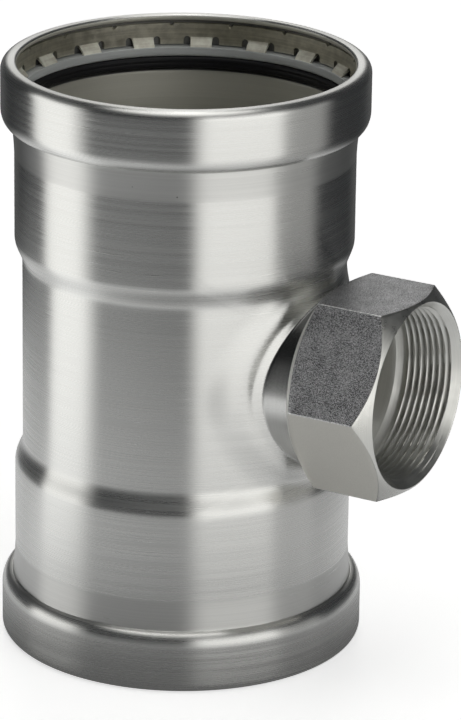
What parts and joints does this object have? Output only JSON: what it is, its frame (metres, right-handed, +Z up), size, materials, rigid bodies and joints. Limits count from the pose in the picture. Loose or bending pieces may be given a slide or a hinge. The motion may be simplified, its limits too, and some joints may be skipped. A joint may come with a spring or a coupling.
{
  "type": "pipe tee",
  "caption": "Stainless-steel press-fit pipe tee: a straight run with a sealed press socket at each end and a hexagonal female-threaded branch sleeve in its side.",
  "frame": {"origin": "centre of the ring on which the tee stands, in the plane of the lower rim and on the run's centre line", "axes": "+Z up along the run, from the lower socket to the upper; +X along the branch, out of the threaded sleeve; +Y completes the right-handed frame"},
  "size_m": [0.1501, 0.1222, 0.2],
  "materials": {
    "run_steel": "finely brushed round the tube, bright, with soft reflections",
    "sleeve_steel": "grainy drawn flats with turned chamfers and a bright cut thread",
    "weld_steel": "smooth weld bead",
    "cutter_steel": "satin, slightly olive, with brighter tabs",
    "separator_plastic": "satin grey",
    "seal_rubber": "smooth black"
  },
  "bodies": {
    "root": {"tee_body": "run_steel", "threaded_sleeve": "sleeve_steel", "branch_weld": "weld_steel", "upper_cutting_ring": "cutter_steel", "upper_separator_ring": "separator_plastic", "upper_seal": "seal_rubber", "lower_cutting_ring": "cutter_steel", "lower_separator_ring": "separator_plastic", "lower_seal": "seal_rubber"}
  },
  "joints": []
}
